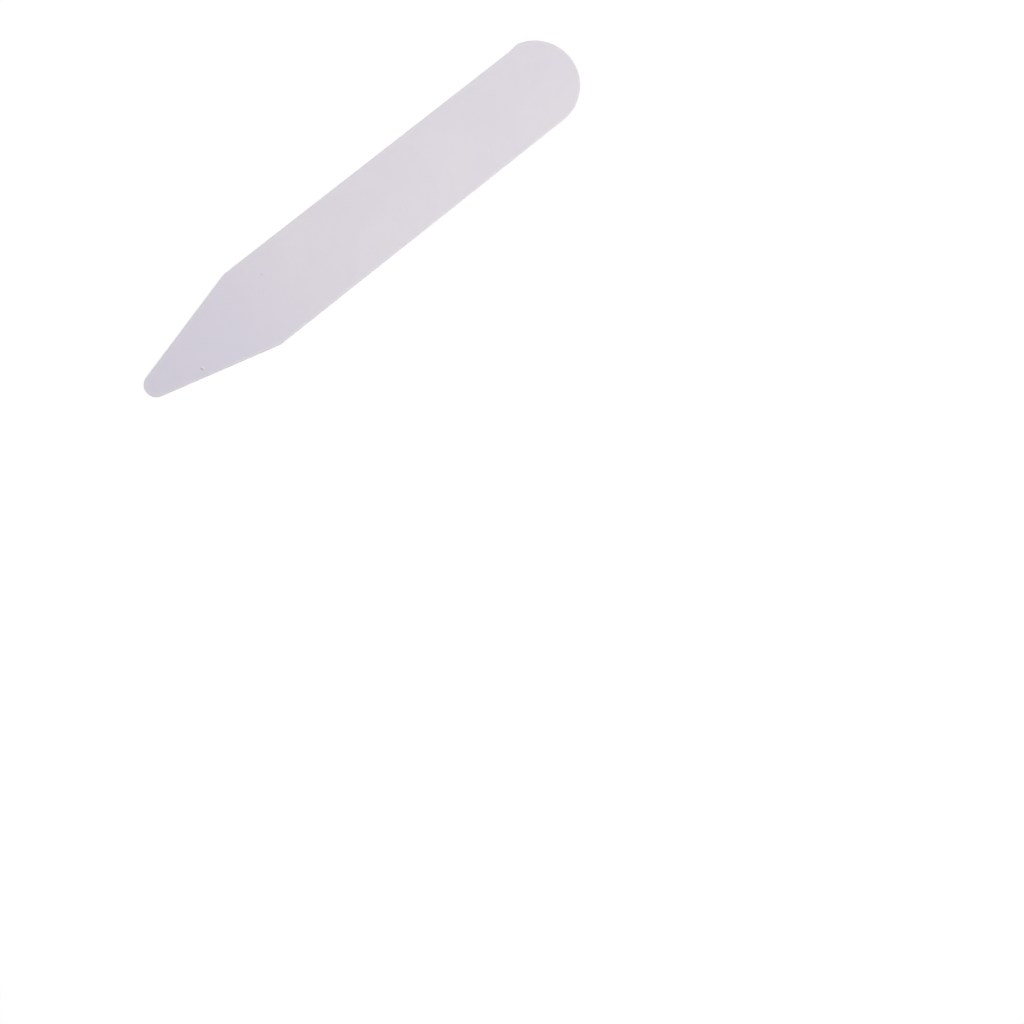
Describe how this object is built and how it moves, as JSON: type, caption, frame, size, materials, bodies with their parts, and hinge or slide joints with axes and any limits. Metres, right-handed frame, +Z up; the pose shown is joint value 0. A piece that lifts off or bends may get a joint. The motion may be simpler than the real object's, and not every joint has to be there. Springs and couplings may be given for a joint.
{
  "type": "collar stay",
  "caption": "Flat plastic collar stay: a thin strip with a blunt point at one end and a round end at the other, for the pocket under a shirt collar.",
  "frame": {"origin": "middle of the stay's underside, on the surface that it lies on", "axes": "+X along the stay from the pointed end to the round end, +Y across the sheet towards the side with the lip, +Z up through the thickness"},
  "size_m": [0.0572, 0.0094, 0.0005],
  "materials": {
    "white_plastic": "satin-matt calendered sheet, white with a faint cool grey cast, with a fine grain and die-cut edges"
  },
  "bodies": {
    "root": {"stay": "white_plastic"}
  },
  "joints": []
}
